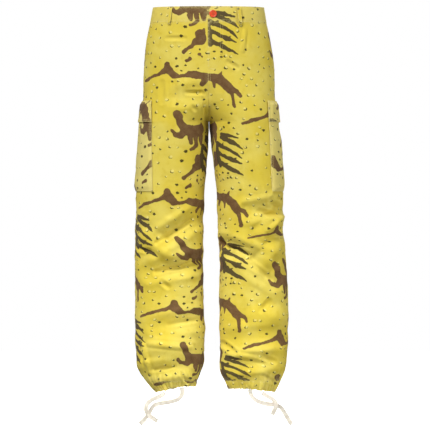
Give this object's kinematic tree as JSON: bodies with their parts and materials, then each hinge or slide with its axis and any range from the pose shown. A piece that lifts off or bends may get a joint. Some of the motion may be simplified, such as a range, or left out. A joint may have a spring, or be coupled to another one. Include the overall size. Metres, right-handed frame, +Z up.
{
  "type": "cargo trousers",
  "caption": "Loose cargo trousers, filled out as worn, with flapped side pockets, belt loops and drawstring hems; hollow and open at the waist and both hems.",
  "frame": {"origin": "centre of the waist opening, level with the top edge of the waistband, where the wearer's waist holds the trousers", "axes": "+Z up, front towards -Y, the wearer's left leg on +X"},
  "size_m": [0.4337, 0.2521, 1.1507],
  "materials": {
    "printed_twill": "matt printed cotton twill",
    "button": "satin",
    "cotton_tape": "matt woven cotton"
  },
  "bodies": {
    "root": {"front_left": "printed_twill", "front_right": "printed_twill", "back_left": "printed_twill", "back_right": "printed_twill", "waistband_left": "printed_twill", "waistband_right": "printed_twill", "fly_shield": "printed_twill", "cargo_pocket_left": "printed_twill", "cargo_pocket_right": "printed_twill", "cargo_flap_left": "printed_twill", "cargo_flap_right": "printed_twill", "hem_tunnel_left": "printed_twill", "hem_tunnel_right": "printed_twill", "belt_loop_front_left": "printed_twill", "belt_loop_front_right": "printed_twill", "belt_loop_side_left": "printed_twill", "belt_loop_side_right": "printed_twill", "belt_loop_back": "printed_twill", "waist_button": "button", "drawstring_left_inner": "cotton_tape", "drawstring_left_outer": "cotton_tape", "drawstring_right_inner": "cotton_tape", "drawstring_right_outer": "cotton_tape"}
  },
  "joints": []
}
